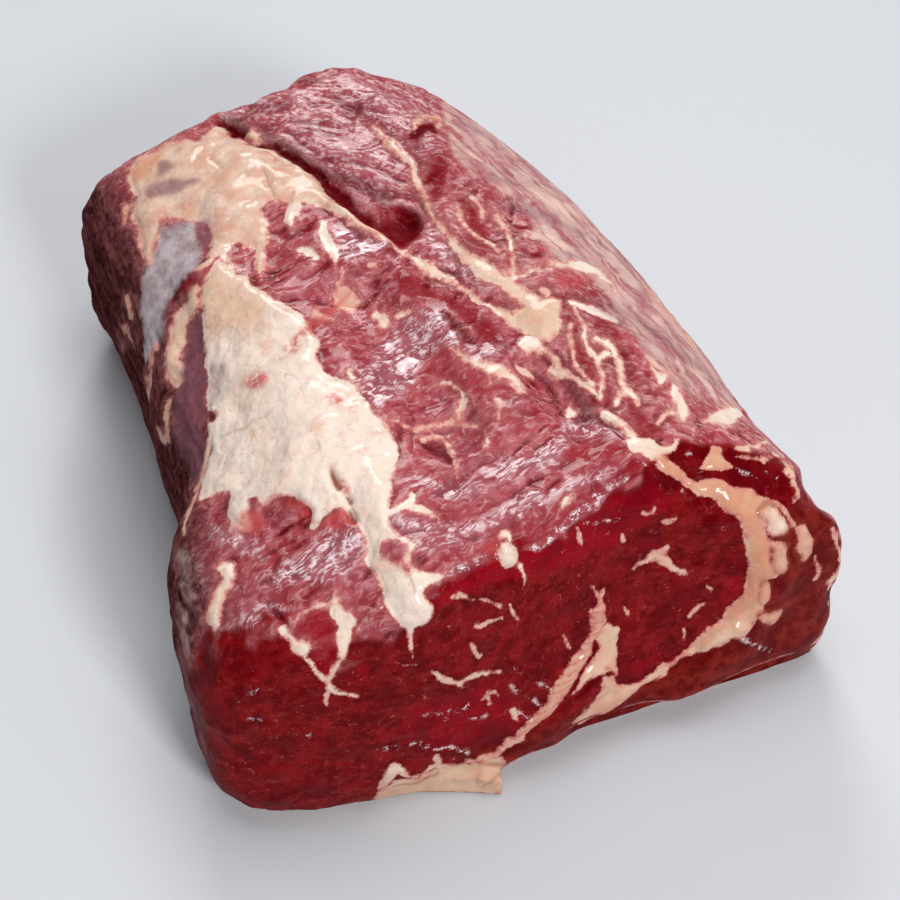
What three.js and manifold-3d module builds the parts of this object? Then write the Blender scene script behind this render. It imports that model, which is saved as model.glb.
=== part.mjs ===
// A boneless rib-eye roast of raw beef, lying fat side down with its cut face towards -Y.
//
// The roast is one solid: a rounded barrel of muscle, flat where it rests, with a cut face in front.
// Its skin starts as a sphere whose poles lie on Y. Every vertex is carried out to the roast's
// section at its place along the length, and relief then moves it in or out along its normal: the
// open seam between the two muscles, the fat plateau, and the fat seams of the cut face.
// A square-ended strip of back fat under the cut face is joined on.
//
// Places are in millimetres from the roast's own corner: x from its left side, y back from the
// foremost fat and z up from the surface it lies on. The finished solid is centred over its base.

import * as THREE from "three";
import { mergeVertices } from "three/addons/utils/BufferGeometryUtils.js";
import Module from "manifold-3d";

// ---------------------------------------------------------------- driving dimensions
const LENGTH = 240; // foremost fat to far end
const WIDTH = 197; // across the cut face
const HEIGHT = 97; // crest of the eye muscle above the table
const FACE = 6; // middle of the cut face, before it leans, behind the foremost fat
const WAIST = 43; // height at which a section is widest
const SUNK = 6; // how far the round underside would reach below the table, pressed flat

const AROUND = 96; // skin faces round a section
const ALONG = 60; // skin faces from the cut face's middle to the far end's middle

// ---------------------------------------------------------------- small helpers
const { clamp, euclideanModulo, lerp, smoothstep } = THREE.MathUtils;

/** A smooth value along one axis, from a few [place, value] stations. */
function stations(...pairs) {
  const curve = new THREE.SplineCurve(pairs.map(([at, value]) => new THREE.Vector2(at, value)));
  const samples = curve.getPoints(24 * pairs.length);
  return (at) => {
    const next = samples.findIndex((p) => p.x >= at);
    if (next < 0) return samples.at(-1).y;
    if (next === 0) return samples[0].y;
    const [a, b] = [samples[next - 1], samples[next]];
    return lerp(a.y, b.y, (at - a.x) / (b.x - a.x));
  };
}

/** A quarter of a superellipse: 0 to 1 across and 0 to 1 up as the turn goes from 0 to 1. */
function quarter(turn, squareness) {
  const angle = (turn * Math.PI) / 2;
  const power = 2 / squareness;
  return [Math.sin(angle) ** power, 1 - Math.cos(angle) ** power];
}

// ---------------------------------------------------------------- sections across the length
// The left side is pinched behind the front lobe. The right side tapers towards the far end.
const leftSide = stations([0, 3], [40, 0], [70, 4], [86, 12], [110, 13], [170, 13], [LENGTH, 5]);
const rightSide = stations([0, WIDTH], [25, WIDTH], [55, 189], [100, 186], [169, 174], [LENGTH, 147]);
const crest = stations([0, HEIGHT], [60, HEIGHT], [130, 96], [200, 94], [LENGTH, 91]);
const CREST_AT = 0.58; // the crest's place across a section, as a share of its width

// The top falls away to the left shoulder, by this share of its height.
const shoulderDrop = stations([0, 0.18], [160, 0.18], [LENGTH, 0.27]);
const SHOULDER_STARTS = 125;

// How square the corners of a section are, by quarter, from the underside clockwise.
const QUARTERS = [
  { side: -1, up: -1, squareness: 4.4 },
  { side: -1, up: 1, squareness: 5.5 },
  { side: 1, up: 1, squareness: 2.1 },
  { side: 1, up: -1, squareness: 7 },
];
const QUARTER_STEPS = 24;

/** The closed outline of the section at y, as a path that starts and ends under the crest. */
function sectionAt(y) {
  const [left, right] = [leftSide(y), rightSide(y)];
  const middle = lerp(left, right, CREST_AT);
  const points = [];
  QUARTERS.forEach(({ side, up, squareness }, index) => {
    for (let step = 0; step < QUARTER_STEPS; step++) {
      const outward = index % 2 === 0;
      const turn = step / QUARTER_STEPS;
      const [across, away] = quarter(outward ? turn : 1 - turn, squareness);
      const x = middle + across * (side < 0 ? left - middle : right - middle);
      const tall = up > 0 ? crest(y) - WAIST : WAIST + SUNK;
      const z = WAIST + up * (1 - away) * tall;
      const short = clamp((SHOULDER_STARTS - x) / (SHOULDER_STARTS - left), 0, 1);
      points.push(new THREE.Vector2(x, z > 0 ? z * (1 - shoulderDrop(y) * short ** 2) : z));
    }
  });
  points.push(points[0].clone());
  return { outline: new THREE.Path(points), middle };
}

// ---------------------------------------------------------------- the meridian
// From the middle of the cut face out to its rim, back along the barrel and in to the far end.
const RADIUS = 75; // mean radius of a section, which spaces the rings evenly
const FACE_EDGE = { depth: 20, squareness: 3.9 };
const FAR_EDGE = { depth: 26, squareness: 4.6 };
const EDGE_STEPS = 24;

function meridian() {
  const points = [];
  for (let step = 0; step <= EDGE_STEPS; step++) {
    const [reach, back] = quarter(step / EDGE_STEPS, FACE_EDGE.squareness);
    points.push(new THREE.Vector2(reach * RADIUS, FACE + back * FACE_EDGE.depth));
  }
  for (let step = EDGE_STEPS; step >= 0; step--) {
    const [reach, back] = quarter(step / EDGE_STEPS, FAR_EDGE.squareness);
    points.push(new THREE.Vector2(reach * RADIUS, LENGTH - back * FAR_EDGE.depth));
  }
  return new THREE.Path(points);
}

// The cut face leans back, most where the eye muscle is highest.
const faceLean = stations([0, 6], [60, 4], [94, 13], [134, 23], [178, 12], [WIDTH, 6]);
const LEAN_FADES_BY = 120;

function leanBack({ x, y, z }) {
  return faceLean(x) * (1 - smoothstep(y, FACE, LEAN_FADES_BY)) * smoothstep(z, 0, HEIGHT);
}

// ---------------------------------------------------------------- the bare barrel
/** The sphere's vertices carried out to the sections, before any relief. */
function barrel() {
  const geometry = new THREE.SphereGeometry(1, AROUND, ALONG);
  const position = geometry.getAttribute("position");
  const uv = geometry.getAttribute("uv");
  const path = meridian();
  const sections = new Map();
  const point = new THREE.Vector3();
  for (let i = 0; i < position.count; i++) {
    const along = uv.getY(i);
    if (!sections.has(along)) {
      const { x: reach, y } = path.getPoint(along);
      sections.set(along, { ...sectionAt(y), share: reach / RADIUS, y });
    }
    const { outline, middle, share, y } = sections.get(along);
    const { x, y: z } = outline.getPoint(euclideanModulo(uv.getX(i), 1));
    point.set(lerp(middle, x, share), y, lerp(WAIST, z, share));
    point.y += leanBack(point);
    position.setXYZ(i, point.x, point.y, point.z);
  }
  geometry.deleteAttribute("normal");
  geometry.deleteAttribute("uv");
  return mergeVertices(geometry, 0.01);
}

// ---------------------------------------------------------------- relief
// Each form follows a path of [across, along or up, half-width] points over the top or the face,
// and rises above the skin, or sinks where its rise is below zero.
const TOP_FORMS = {
  // The open seam between the two muscles: a cleft from the far end to a pit, then a shallow
  // furrow, and a second cleft short of the cut face.
  seamFar: { rise: -4, path: [[60, 226, 6], [73, 203, 7], [82, 185, 7], [95, 166, 7]] },
  pit: { rise: -4, path: [[98, 162, 10], [105, 157, 10]] },
  furrow: { rise: -3, path: [[104, 150, 9], [108, 120, 10], [116, 98, 9], [121, 80, 9], [124, 50, 9]] },
  seamNear: { rise: -4, path: [[120, 78, 9], [122, 58, 9]] },
  // The back fat left on the left muscle: a plateau that narrows to a tongue over the face's edge.
  fat: { rise: 4, path: [[40, 160, 10], [46, 138, 17], [53, 112, 23], [56, 84, 27], [54, 62, 23]] },
  tongue: { rise: 3, path: [[66, 40, 12], [63, 12, 10]] },
  upperFat: { rise: 2, path: [[34, 205, 24], [52, 190, 24]] },
  // A hollow beside the fat, and the small valley across the left muscle.
  hollow: { rise: -4, path: [[78, 122, 14], [87, 92, 12], [88, 64, 10]] },
  // A flap of meat stands up at the far end's edge.
  flap: { rise: 5, path: [[96, 238, 10], [110, 238, 11]] },
  // Two long ribs in the meat right of the seam.
  nearRib: { rise: 3, path: [[134, 128, 10], [143, 90, 11], [152, 62, 10]] },
  farRib: { rise: 3, path: [[112, 205, 10], [126, 168, 11], [134, 150, 10]] },
};
const FACE_FORMS = {
  // The fat seam that hooks round the eye of the face, and the furrow beside it.
  hook: { rise: 3, path: [[148, 76, 10], [166, 68, 10], [170, 50, 10], [158, 27, 10], [140, 15, 9]] },
  // The rope of fat between the two lobes, and the meat under them, set back.
  rope: { rise: 3, path: [[114, 32, 8], [108, 28, 9], [96, 17, 9], [80, 8, 8]] },
  underlap: { rise: -5, path: [[112, 6, 9], [150, 5, 9], [180, 6, 8]] },
};
const FLAT_TOP = 0.2; // how far a form stays at its full rise, as a share of its half-width
const FOOT = 1.15; // where a form has fallen to nothing, as a share of its half-width

/** How far (a, b) lies from a path, in half-widths of the path there. */
function distanceFrom(path, a, b) {
  let nearest = Infinity;
  for (let i = 1; i < path.length; i++) {
    const [fromA, fromB, fromHalf] = path[i - 1];
    const [alongA, alongB] = [path[i][0] - fromA, path[i][1] - fromB];
    const dot = (a - fromA) * alongA + (b - fromB) * alongB;
    const share = clamp(dot / (alongA ** 2 + alongB ** 2), 0, 1);
    const gap = Math.hypot(a - fromA - share * alongA, b - fromB - share * alongB);
    nearest = Math.min(nearest, gap / lerp(fromHalf, path[i][2], share));
  }
  return nearest;
}

/** What the forms add at (a, b). */
function riseOf(forms, a, b) {
  let total = 0;
  for (const { rise, path } of Object.values(forms)) {
    total += rise * (1 - smoothstep(distanceFrom(path, a, b), FLAT_TOP, FOOT));
  }
  return total;
}

/** Moves every vertex of the skin along its normal by the forms it lies under, then presses it. */
function carve(skin) {
  skin.computeVertexNormals();
  const position = skin.getAttribute("position");
  const normal = skin.getAttribute("normal");
  for (let i = 0; i < position.count; i++) {
    const point = new THREE.Vector3().fromBufferAttribute(position, i);
    const outward = new THREE.Vector3().fromBufferAttribute(normal, i);
    const top = smoothstep(outward.z, 0.1, 0.6) * riseOf(TOP_FORMS, point.x, point.y);
    const face = smoothstep(-outward.y, 0.3, 0.8) * riseOf(FACE_FORMS, point.x, point.z);
    point.addScaledVector(outward, top + face);
    position.setXYZ(i, point.x, point.y, Math.max(point.z, 0));
  }
  skin.deleteAttribute("normal");
  return skin;
}

// ---------------------------------------------------------------- the fat strip under the face
// A slab of back fat, its front edge running out to a square-cut right end.
const STRIP_HIGH = 9;
const STRIP_OUTLINE = [[38, 34], [40, 11], [58, 9], [70, 5], [82, 0], [85, 34]];

function fatStrip() {
  const outline = new THREE.Shape(STRIP_OUTLINE.map(([x, y]) => new THREE.Vector2(x, y)));
  const strip = new THREE.ExtrudeGeometry(outline, { depth: STRIP_HIGH, bevelEnabled: false });
  strip.deleteAttribute("normal");
  strip.deleteAttribute("uv");
  return mergeVertices(strip, 0.01);
}

// ---------------------------------------------------------------- one solid
const wasm = await Module();
wasm.setup();

function solidFrom(geometry) {
  const vertProperties = Float32Array.from(geometry.getAttribute("position").array);
  const triVerts = Uint32Array.from(geometry.getIndex().array);
  return new wasm.Manifold(new wasm.Mesh({ numProp: 3, vertProperties, triVerts }));
}

const { vertProperties, triVerts } = solidFrom(carve(barrel())).add(solidFrom(fatStrip())).getMesh();
const body = new THREE.BufferGeometry();
body.setAttribute("position", new THREE.BufferAttribute(vertProperties, 3));
body.setIndex(new THREE.BufferAttribute(triVerts, 1));
body.computeBoundingBox();
const middle = body.boundingBox.getCenter(new THREE.Vector3());
body.translate(-middle.x, -middle.y, 0);
body.computeVertexNormals();

// ---------------------------------------------------------------- the group
const flesh = new THREE.MeshStandardMaterial({ color: 0x8c2b33, roughness: 0.35, metalness: 0 });
const roast = new THREE.Mesh(body, flesh);
roast.name = "roast";

const group = new THREE.Group();
group.add(roast);
export default group;
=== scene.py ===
import math

import bpy
import numpy as np
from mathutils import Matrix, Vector


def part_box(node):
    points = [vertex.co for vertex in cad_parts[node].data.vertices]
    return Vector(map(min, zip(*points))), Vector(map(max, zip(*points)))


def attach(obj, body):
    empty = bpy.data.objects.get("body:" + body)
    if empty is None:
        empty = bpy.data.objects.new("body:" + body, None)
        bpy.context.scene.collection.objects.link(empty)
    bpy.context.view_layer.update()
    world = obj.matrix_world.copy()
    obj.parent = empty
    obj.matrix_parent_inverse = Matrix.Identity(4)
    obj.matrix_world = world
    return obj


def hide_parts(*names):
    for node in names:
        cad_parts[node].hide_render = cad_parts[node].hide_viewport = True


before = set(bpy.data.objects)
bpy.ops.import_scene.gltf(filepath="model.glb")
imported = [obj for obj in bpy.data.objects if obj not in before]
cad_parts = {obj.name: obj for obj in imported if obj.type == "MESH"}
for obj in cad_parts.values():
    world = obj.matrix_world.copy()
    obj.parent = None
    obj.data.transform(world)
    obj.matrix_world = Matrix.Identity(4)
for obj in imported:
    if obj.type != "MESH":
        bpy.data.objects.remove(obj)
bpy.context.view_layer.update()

# ---- Viewpoint ----
# The camera stands a little to the left of the cut face and looks down on it from close by, so the near end
# of the roast looks larger than its far end.
VIEW_SIDE = 900
VIEW_AZIMUTH = math.radians(-19)
VIEW_ELEVATION = math.radians(50)
VIEW_DISTANCE = 0.607
VIEW_AIM = Vector((0.111, 0.132, 0.0))
LENS = 70
FILM = 36

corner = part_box("roast")[0]
backward = Vector(
    (
        math.sin(VIEW_AZIMUTH) * math.cos(VIEW_ELEVATION),
        -math.cos(VIEW_AZIMUTH) * math.cos(VIEW_ELEVATION),
        math.sin(VIEW_ELEVATION),
    )
)
camera = bpy.data.objects.new("camera", bpy.data.cameras.new("camera"))
bpy.context.collection.objects.link(camera)
camera.data.lens = LENS
camera.data.sensor_width = FILM
camera.location = corner + VIEW_AIM + backward * VIEW_DISTANCE
camera.rotation_mode = "QUATERNION"
camera.rotation_quaternion = (-backward).to_track_quat("-Z", "Y")
bpy.context.scene.camera = camera

# ---- Block of muscle ----
# The rib-eye is one block of muscles that grew together, trimmed off the ribs with a knife.
# Its skin is an even mesh, fine enough to carry folds, fat and seams as real relief.
MESH_STEP = 0.00072
MM = 1000
ROUNDING = 46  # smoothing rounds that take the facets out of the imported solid
STRIP_ROUNDING = 4  # the same on the fat strip, which keeps its knife-cut edges
STRIP_BACK = (14, 8)  # the strip fades in from the first place to the second, here along the roast
STRIP_TOP = (12, 9)
STRIP_LEFT = (30, 36)
STRIP_RIGHT = (95, 90)


def ramp(value, start, end):
    """0 before start, 1 past end, and a smooth rise from one to the other."""
    part = np.clip((value - start) / (end - start), 0, 1)
    return part * part * (3 - 2 * part)


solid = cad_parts["roast"]
roast = bpy.data.objects.new("roast_meat", solid.data.copy())
bpy.context.collection.objects.link(roast)
even = roast.modifiers.new("even", "REMESH")
even.mode = "VOXEL"
even.voxel_size = MESH_STEP
shaped = roast.evaluated_get(bpy.context.evaluated_depsgraph_get())
flesh = bpy.data.meshes.new_from_object(shaped)
roast.modifiers.clear()
roast.data = flesh

point_count = len(flesh.vertices)
places = np.zeros(point_count * 3)
flesh.vertices.foreach_get("co", places)
places = (places.reshape(-1, 3) - corner) * MM
edges = np.zeros(len(flesh.edges) * 2, int)
flesh.edges.foreach_get("vertices", edges)
edges = edges.reshape(-1, 2)
starts, ends = np.concatenate([edges, edges[:, ::-1]]).T
neighbours = np.bincount(starts, minlength=point_count)


def smoothed(values, rounds, share=0.5):
    """Values of the points, each moved rounds times towards its neighbours' mean."""
    columns = values.reshape(point_count, -1).T
    for _ in range(rounds):
        columns = [
            column + share * (np.bincount(starts, column[ends], point_count) / neighbours - column)
            for column in columns
        ]
    return np.array(columns).T.reshape(values.shape)


def put_places():
    """Writes the places to the mesh and returns its new outward directions."""
    flesh.vertices.foreach_set("co", (places / MM + corner).ravel())
    flesh.update()
    outward = np.zeros(point_count * 3)
    flesh.vertex_normals.foreach_get("vector", outward)
    return outward.reshape(-1, 3)


x, y, z = places.T
strip = ramp(y, *STRIP_BACK) * ramp(z, *STRIP_TOP) * ramp(x, *STRIP_LEFT) * ramp(x, *STRIP_RIGHT)
strip = strip[:, None]
places = smoothed(places, ROUNDING) * (1 - strip) + smoothed(places, STRIP_ROUNDING) * strip
outward = put_places()
x, y, z = places.T

# ---- Layout of the tissues ----
# Fat, seams and skins are drawn as outlines and strokes in the view's own units, from its top left corner,
# and then lie on the skin of the block wherever it faces that way. Their torn edges wander at random, but
# the same in every run.
REACH = 40.0  # distances are followed this far outside a shape
VIEW_SCALE = VIEW_SIDE * LENS / FILM
TORN = 5  # how far torn edges wander from their outlines
TORN_SIZE = 6  # millimetres from one wave of a torn edge to the next
TURNED_AWAY = (0.02, 0.14)  # what lies between these slopes fades out of the view
NOISE_TABLE = np.random.default_rng(11).random(8192)


def noise(where, seed):
    """Smooth random numbers from 0 to 1, with lumps one unit of where across."""
    where = where + seed * 7.31
    cell = np.floor(where).astype(np.int64)
    part = where - cell
    part = part * part * part * (part * (part * 6 - 15) + 10)
    total = np.zeros(len(where))
    for side in np.ndindex(2, 2, 2):
        i, j, k = (cell + side).T
        code = (i * 73856093) ^ (j * 19349663) ^ (k * 83492791) ^ (seed * 2654435761)
        code ^= code >> 13
        weight = np.prod(np.where(side, part, 1 - part), axis=1)
        total += NOISE_TABLE[code % len(NOISE_TABLE)] * weight
    return total


def cloud(where, seed, octaves=3):
    """Noise with finer noise on it, around 0."""
    total = np.zeros(len(where))
    for octave in range(octaves):
        total += (noise(where * 2**octave, seed + octave) - 0.5) / 2**octave
    return total


camera_turn = np.array(camera.rotation_quaternion.to_matrix())
from_camera = (places / MM + corner - camera.location) @ camera_turn
straight_spots = from_camera[:, :2] / -from_camera[:, 2:] * VIEW_SCALE * (1, -1) + VIEW_SIDE / 2
wander = np.stack([cloud(places / TORN_SIZE, seed, 2) for seed in (101, 111)], axis=1)
spots = straight_spots + wander * TORN
to_camera = -from_camera @ camera_turn.T
to_camera /= np.linalg.norm(to_camera, axis=1, keepdims=True)
seen = ramp((outward * to_camera).sum(axis=1), *TURNED_AWAY)
everywhere = np.ones(point_count)


def curve(points, closed, steps=4):
    """A smooth curve through a few points, as many short straight ones."""
    points = np.array(points, float)
    index = np.arange(-1, len(points) + (2 if closed else 1))
    index = index % len(points) if closed else np.clip(index, 0, len(points) - 1)
    a, b, c, d = (points[index][i : len(index) - 3 + i, None] for i in range(4))
    t = np.arange(steps)[None, :, None] / steps
    bend = a - 2.5 * b + 2 * c - 0.5 * d + t * (1.5 * (b - c) + (d - a) / 2)
    bent = (b + t * ((c - a) / 2 + t * bend)).reshape(-1, points.shape[1])
    return bent if closed else np.concatenate([bent, points[-1:]])


def close_to(line, on, shown):
    """Which points lie within reach of a line, on the side that is shown."""
    low, high = line[:, :2].min(axis=0) - REACH, line[:, :2].max(axis=0) + REACH
    return ((on > low) & (on < high)).all(axis=1) & (shown > 0)


def along(start, side, spot):
    """For each spot the share of a straight side that lies before it, and its distance from that side."""
    offset = spot - start
    share = np.clip(offset @ side / max(side @ side, 1e-9), 0, 1)
    return share, np.linalg.norm(offset - share[:, None] * side, axis=1)


def spread(near, depth, shown):
    """Depths of the points near a shape, as a value for every point."""
    everyone = np.full(len(near), -REACH)
    everyone[near] = depth
    return everyone - (1 - shown) * REACH


def inside(outline, on=spots, shown=seen):
    """How deep each point lies inside a closed outline, negative outside it."""
    loop = curve(outline, True)
    near = close_to(loop, on, shown)
    spot = on[near]
    best = np.full(len(spot), REACH)
    within = np.zeros(len(spot), bool)
    for start, end in zip(loop, np.roll(loop, -1, axis=0)):
        side = end - start
        best = np.minimum(best, along(start, side, spot)[1])
        crosses = (start[1] > spot[:, 1]) != (end[1] > spot[:, 1])
        if start[1] != end[1]:
            offset = spot - start
            within ^= crosses & (offset[:, 0] < side[0] * offset[:, 1] / side[1])
    return spread(near, np.where(within, best, -best), shown)


def stroke(path, on=spots, shown=seen):
    """How deep each point lies inside a stroke of (across, down, half width) points."""
    line = curve(path, False)
    near = close_to(line, on, shown)
    spot = on[near]
    best = np.full(len(spot), -REACH)
    for start, end in zip(line, line[1:]):
        share, away = along(start[:2], (end - start)[:2], spot)
        best = np.maximum(best, start[2] + share * (end[2] - start[2]) - away)
    return spread(near, best, shown)


def union(*depths):
    return np.maximum.reduce(depths)


def shapes(outlines):
    """One depth for several outlines and strokes: a stroke's points have a half width too."""
    return union(*[stroke(points) if len(points[0]) == 3 else inside(points) for points in outlines])


BARE_MEAT = {  # what the finish of the meat reads at each point, as it is before anything lies there
    "fat": -REACH,  # how deep in fat
    "fat_warmth": 0.4,  # 0 white, 0.5 cream, 1 tan
    "rose": 0.0,  # fat so thin that the meat tints it
    "film": 0.0,  # silverskin and other thin skins over the meat
    "film_warmth": 0.0,  # 0 grey, 1 pink and cream
    "shade_and_dark_meat": 0.0,  # painted shade in creases, seams, slots, the pit and hollows, and meat darker than usual
    "crimson": 0.0,  # fresh wet meat
    "sheen": 0.0,  # painted sheen on fine wrinkles
    "stain": 0.0,  # fat or skin through which red meat shows
    "bruise": 0.0,  # the same, purple
    "flecks": 0.0,  # fine crumbs of fat
    "seam": 0.0,  # brown lines in fat
}
marks = {name: np.full(point_count, value) for name, value in BARE_MEAT.items()}
height = np.zeros(point_count)  # relief to come, in millimetres along the outward direction

# ---- Cap of fat on top ----
# The largest patch of fat covers the block's left shoulder and ends in a tongue over the cut edge.
# It is a tough white layer about 2 mm thick, torn at its borders.
CAP = [
    (216, 260), (229, 266), (246, 275), (256, 285), (268, 296), (284, 303), (303, 318), (322, 339),
    (317, 353), (322, 369), (352, 382), (364, 399), (385, 422), (397, 438), (400, 453), (395, 470),
    (390, 488), (391, 508), (392, 526), (407, 540), (417, 546), (411, 556), (416, 566), (433, 573),
    (443, 576), (437, 581), (424, 588), (424, 596), (433, 607), (427, 618), (415, 628), (405, 627),
    (397, 622), (389, 611), (382, 597), (375, 575), (364, 560), (366, 544), (357, 524), (349, 518),
    (342, 507), (326, 517), (316, 531), (311, 525), (309, 507), (299, 501), (290, 495), (278, 498),
    (264, 506), (253, 508), (253, 522), (250, 531), (240, 530), (232, 520), (227, 505), (227, 490),
    (213, 495), (201, 501), (200, 485), (205, 466), (211, 447), (208, 420), (207, 395), (206, 370),
    (205, 352), (202, 332), (200, 312), (202, 288), (208, 273),
]
CAP_STAINS = {
    "oval": [(322, 398), (331, 391), (342, 398), (341, 407), (330, 405)],
    "spots": [(248, 386), (258, 376), (272, 378), (268, 388), (256, 393)],
    "torn edge": [(282, 500), (304, 500), (312, 520), (326, 522), (344, 510), (356, 526), (330, 530)],
    "end of the flap": [(240, 524), (252, 512), (262, 522), (254, 534)],
    "by the slit": [(337, 482), (345, 480), (352, 490), (344, 495)],
    "thin place": [(352, 292), (300, 345), (292, 352), (286, 346)],
}
CAP_HOLES = {
    "in the tongue": [(384, 542), (402, 545), (406, 560), (409, 572), (400, 570), (393, 562), (384, 556)],
    "notch": [(206, 410), (217, 413), (215, 424), (207, 421)],
    "small": [(252, 504), (261, 501), (262, 511), (256, 512)],
}
CAP_TAILS = [
    [(411, 626, 4), (411, 636, 2.5), (411, 656, 1)],
    [(392, 514, 4), (410, 504, 5), (413, 494, 2)],
    [(410, 508, 4), (424, 511, 4), (438, 518, 1.5)],
]
CAP_SLITS = [
    [(331, 470, 1), (334, 478, 3), (339, 488, 3)],
    [(347, 498, 2), (351, 502, 3)],
    [(349, 512, 2), (354, 522, 2)],
]
CAP_LINES = [
    [(318, 444, 1), (320, 450, 1)],
    [(214, 441, 1), (210, 460, 2), (206, 476, 1)],
    [(222, 441, 0.6), (250, 430, 0.8), (272, 416, 0.6)],
    [(402, 571, 1), (410, 580, 1), (414, 592, 0.8)],
]
YELLOW = [(203, 290), (216, 262), (236, 274), (256, 294), (268, 312), (246, 324), (222, 330), (205, 326)]
CAP_THICKNESS = 0.9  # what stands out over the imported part's own step
HOLE_DEPTH = 0.7
SLIT_DEPTH = 1.8
LINE = 1.5  # how soft the borders of thin lines are
FRINGE = 4  # fat tints the meat this far outside its outline


def raise_meat(depth, rise, start, end):
    """Raises or sinks the meat in a shape, from start units deep in it to the full rise at end."""
    height[:] += rise * ramp(depth, start, end)


def add_fat(depth, warmth, thickness, slope=9, rose=0.0):
    """Lays fat on the meat: its edge rises over slope units to its thickness."""
    covers = depth > np.maximum(marks["fat"], -FRINGE)
    marks["fat_warmth"][covers] = warmth
    marks["rose"][covers] = rose
    marks["fat"] = np.maximum(marks["fat"], depth)
    raise_meat(depth, thickness, -slope * 0.3, slope)


def cut_window(depth, deep):
    """Opens a window in the fat laid so far, down to the meat."""
    height[:] -= deep * ramp(depth, -2, 4) * ramp(marks["fat"], 0, 5)
    marks["fat"] = np.minimum(marks["fat"], -depth)


def mark(name, depth, soft=4, strength=1.0):
    """Marks the inside of a shape, with a border that is soft for this far to both sides."""
    marks[name] = np.maximum(marks[name], strength * ramp(depth, -soft, soft))


add_fat(shapes([CAP] + CAP_TAILS), warmth=0.08, thickness=CAP_THICKNESS)
for hole in CAP_HOLES.values():
    cut_window(inside(hole), HOLE_DEPTH)
for patch in CAP_STAINS.values():
    mark("stain", inside(patch), strength=0.8)
slits = shapes(CAP_SLITS)
raise_meat(slits, -SLIT_DEPTH, -4, 2)
mark("seam", slits, LINE)
mark("seam", shapes(CAP_LINES), LINE, strength=0.5)
marks["fat_warmth"] += 0.42 * ramp(inside(YELLOW), -30, 22)

# ---- Upper fat, silverskin and shoulder ribs ----
# Pinkish fat and a sheet of grey silverskin run on to the far end of the shoulder, where the knife has
# left shreds and thin ribs of fat between strips of dark meat.
UPPER = [
    (148, 267), (140, 248), (137, 229), (134, 211), (138, 198), (131, 186), (131, 175), (139, 161),
    (156, 150), (168, 141), (185, 140), (200, 140), (217, 127), (231, 134), (241, 142), (254, 148),
    (271, 148), (283, 156), (298, 167), (317, 178), (325, 186), (332, 195), (346, 206), (362, 220),
    (352, 222), (335, 213), (322, 206), (306, 202), (300, 206), (294, 221), (288, 230), (285, 214),
    (286, 201), (270, 201), (263, 208), (268, 222), (266, 246), (268, 264), (262, 276), (256, 268),
    (254, 250), (246, 246), (247, 268), (231, 264), (216, 257), (208, 266), (196, 271), (194, 267),
    (204, 259), (210, 246), (206, 224), (186, 221), (167, 221), (161, 230), (157, 244), (153, 261),
]
TAN_EDGE = [(168, 142), (156, 151), (139, 162), (131, 176), (134, 188), (149, 180), (160, 166)]
UPPER_BRUISES = {
    "far": [(158, 176), (160, 165), (172, 164), (175, 170), (166, 176)],
    "middle": [(146, 195), (151, 185), (166, 181), (198, 181), (186, 189), (166, 196), (152, 200)],
    "grey": [(196, 221), (207, 219), (209, 240), (202, 249), (197, 236)],
}
UPPER_HOLES = {
    "red": [(232, 246), (240, 243), (247, 256), (247, 268), (240, 267), (232, 262)],
    "dark": [(269, 203), (284, 201), (283, 212), (273, 212)],
}
FLAP_LINES = [
    [(264, 170, 1), (267, 184, 1.4), (273, 195, 1)],
    [(262, 157, 0.8), (274, 159, 1), (281, 166, 1), (290, 169, 0.8)],
    [(222, 166, 0.6), (212, 161, 0.6)],
]
SEAM_LUMP = [(244, 135), (254, 132), (262, 137), (259, 145), (249, 143)]
RED_CURL = [(189, 138, 2), (197, 137, 3), (204, 129, 2), (217, 123, 2)]
SILVERSKIN = [
    (160, 226), (186, 222), (197, 223), (199, 240), (204, 252), (196, 268), (184, 280), (170, 306),
    (163, 336), (151, 362), (140, 354), (139, 320), (140, 290), (146, 262), (156, 244),
]
SKIN_BORDER = [(186, 268, 3), (172, 292, 4), (164, 318, 3), (164, 340, 2)]
CAP_SKIN = [(208, 365), (227, 364), (228, 372), (222, 395), (218, 406), (208, 406), (206, 380)]
FLAP_SKIN = [(228, 490), (238, 492), (250, 500), (256, 522), (250, 530), (240, 529), (231, 516)]
RIB = [
    (198, 286), (182, 304), (172, 322), (168, 346), (166, 372), (173, 386), (183, 372), (180, 358),
    (185, 338), (192, 318), (201, 302),
]
SHREDS = [(284, 214), (290, 197), (299, 191), (301, 204), (295, 220), (288, 230)]
DARK_RED = [(196, 271), (202, 279), (196, 289), (184, 296), (183, 284), (190, 275)]
PURPLE_MEAT = [
    (196, 318), (180, 364), (175, 402), (176, 440), (186, 472), (196, 482), (204, 452), (203, 420),
    (205, 390), (204, 352), (202, 334),
]
THIN_RIBS = [
    [(169, 402, 2.4), (169, 424, 3), (166, 442, 2)],
    [(124, 328, 3), (126, 346, 5), (124, 362, 2)],
    [(156, 344, 2), (150, 376, 3), (151, 408, 2)],
    [(128, 296, 2), (129, 318, 2)],
    [(130, 207, 2), (128, 226, 2.4)],
    [(218, 246, 3), (208, 262, 4), (196, 270, 2)],
]
STRANDS = [
    [(211, 440, 3), (205, 460, 3), (199, 480, 3), (191, 506, 2.4), (186, 520, 2), (185, 532, 1)],
    [(160, 428, 1), (164, 436, 1.6), (160, 440, 1)],
]
FLAP_LINE_DEPTH = 0.8


def add_film(depth, warmth, strength, soft=4):
    """Lays a thin skin on the meat."""
    lies = strength * ramp(depth, -soft, soft)
    marks["film_warmth"] = np.where(lies > marks["film"], warmth, marks["film_warmth"])
    marks["film"] = np.maximum(marks["film"], lies)


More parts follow.
